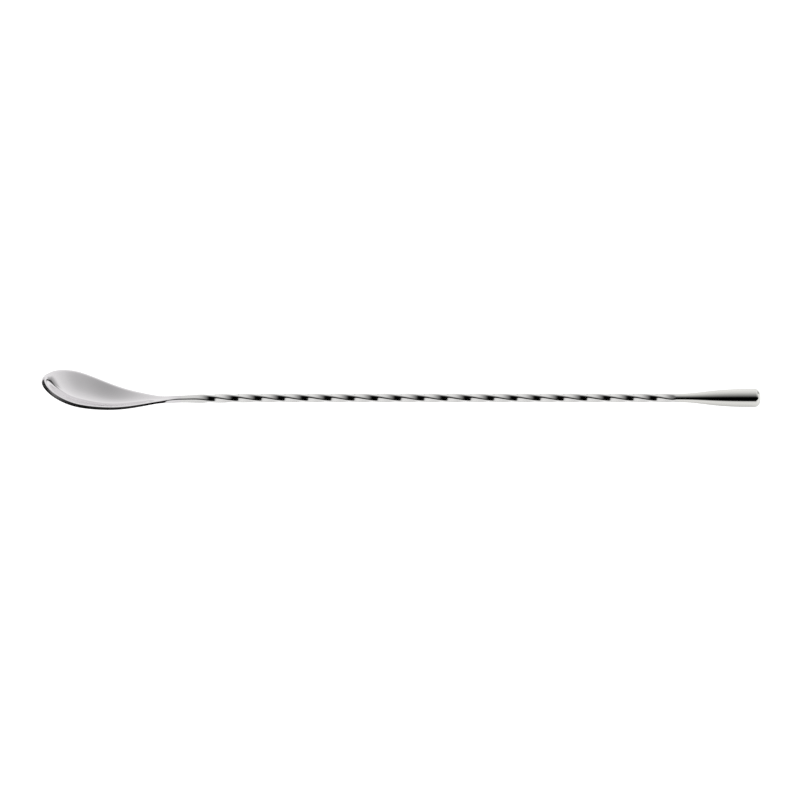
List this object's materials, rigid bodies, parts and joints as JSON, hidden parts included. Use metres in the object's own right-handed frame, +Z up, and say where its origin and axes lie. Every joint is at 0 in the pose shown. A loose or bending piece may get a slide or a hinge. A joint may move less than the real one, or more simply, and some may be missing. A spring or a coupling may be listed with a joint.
{
  "type": "bar spoon",
  "caption": "Long bar spoon with a teardrop bowl, a right-hand twisted square stem and a turned, flared end weight with a domed end.",
  "frame": {"origin": "midway along the spoon, midway across the bowl, on the surface the spoon lies on", "axes": "+X along the stem from the bowl to the end weight, +Z up out of the bowl's mouth, +Y across"},
  "size_m": [0.315, 0.0266, 0.014],
  "materials": {
    "bowl_steel": "bright polish, with a satin pressed edge",
    "weld_steel": "ground flush and polished",
    "stem_steel": "bright polish with faint draw lines",
    "braze_alloy": "as brazed, hidden in the joint",
    "weight_steel": "bright polish over fine turning lines"
  },
  "bodies": {
    "root": {"bowl": "bowl_steel", "neck_weld": "weld_steel", "twisted_stem": "stem_steel", "braze_sleeve": "braze_alloy", "end_weight": "weight_steel"}
  },
  "joints": []
}
